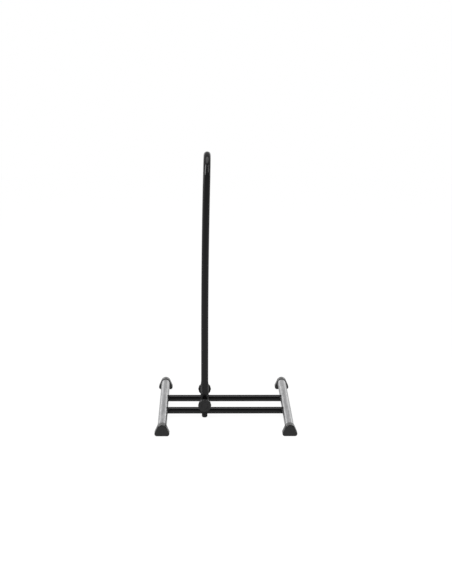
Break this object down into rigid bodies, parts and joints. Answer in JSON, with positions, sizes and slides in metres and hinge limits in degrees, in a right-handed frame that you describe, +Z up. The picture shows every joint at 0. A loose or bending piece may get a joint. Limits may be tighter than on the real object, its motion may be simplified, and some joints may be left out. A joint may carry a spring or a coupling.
{
  "type": "floor bike stand",
  "caption": "Free-standing bicycle floor stand: a low frame of leg tubes and rails, and a tall folding hoop that slides along the rails and holds the wheel upright.",
  "frame": {"origin": "on the floor, in the middle of the rectangle that the four feet stand on", "axes": "+Z up; +X along the rails, to the right when the hoop stands nearer the left leg; +Y from the front legs' ends to the rear ones, across the wheel"},
  "size_m": [0.391, 0.407, 0.751],
  "materials": {
    "satin_silver": "satin silver powder coat on steel tube",
    "black_paint": "satin black powder coat on steel tube",
    "black_vinyl": "moulded soft black vinyl, satin, slightly grained",
    "black_nylon": "moulded black glass-filled nylon, fine satin grain",
    "zinc_steel": "bright zinc plate",
    "black_steel": "black oxide"
  },
  "bodies": {
    "base": {"left_leg_tube": "satin_silver", "right_leg_tube": "satin_silver", "front_left_foot": "black_vinyl", "front_right_foot": "black_vinyl", "rear_left_foot": "black_vinyl", "rear_right_foot": "black_vinyl", "front_rail": "black_paint", "rear_rail": "black_paint", "front_left_rail_plug": "black_nylon", "front_left_rail_nut": "zinc_steel", "front_left_rail_bolt": "zinc_steel", "front_right_rail_plug": "black_nylon", "front_right_rail_nut": "zinc_steel", "front_right_rail_bolt": "zinc_steel", "rear_left_rail_plug": "black_nylon", "rear_left_rail_nut": "zinc_steel", "rear_left_rail_bolt": "zinc_steel", "rear_right_rail_plug": "black_nylon", "rear_right_rail_nut": "zinc_steel", "rear_right_rail_bolt": "zinc_steel"},
    "hoop_carriage": {"front_outer_jaw": "black_nylon", "front_inner_jaw": "black_nylon", "front_jaw_screw": "black_steel", "front_jaw_nut": "zinc_steel", "front_stud_nut": "zinc_steel", "rear_outer_jaw": "black_nylon", "rear_inner_jaw": "black_nylon", "rear_jaw_screw": "black_steel", "rear_jaw_nut": "zinc_steel", "rear_stud_nut": "zinc_steel"},
    "hoop": {"hoop_tube": "black_paint", "front_pivot_bush": "zinc_steel", "rear_pivot_bush": "zinc_steel"},
    "front_knob_seat": {"front_knob_washer": "zinc_steel"},
    "front_knob_body": {"front_knob": "black_nylon", "front_knob_stud": "zinc_steel"},
    "rear_knob_seat": {"rear_knob_washer": "zinc_steel"},
    "rear_knob_body": {"rear_knob": "black_nylon", "rear_knob_stud": "zinc_steel"}
  },
  "joints": [
    {"name": "carriage_slide", "type": "slide", "parent": "base", "child": "hoop_carriage", "axis": [1, 0, 0], "range_m": [-0.082, 0.198]},
    {"name": "hoop_fold", "type": "hinge", "parent": "hoop_carriage", "child": "hoop", "pos_m": [-0.058, 0, 0.0412], "axis": [0, 1, 0], "range_deg": [-88, 88]},
    {"name": "front_knob_travel", "type": "slide", "parent": "hoop_carriage", "child": "front_knob_seat", "axis": [0, -1, 0], "range_m": [0, 0.002]},
    {"name": "front_knob_turn", "type": "hinge", "parent": "front_knob_seat", "child": "front_knob_body", "pos_m": [-0.058, -0.0648, 0.0412], "axis": [0, -1, 0], "range_deg": [0, 720]},
    {"name": "rear_knob_travel", "type": "slide", "parent": "hoop_carriage", "child": "rear_knob_seat", "axis": [0, 1, 0], "range_m": [0, 0.002]},
    {"name": "rear_knob_turn", "type": "hinge", "parent": "rear_knob_seat", "child": "rear_knob_body", "pos_m": [-0.058, 0.0648, 0.0412], "axis": [0, 1, 0], "range_deg": [0, 720]}
  ],
  "couplings": [
    {"joint": "front_knob_travel", "follows": "front_knob_turn", "m_per_rad": 0.00015915},
    {"joint": "rear_knob_travel", "follows": "rear_knob_turn", "m_per_rad": 0.00015915}
  ]
}
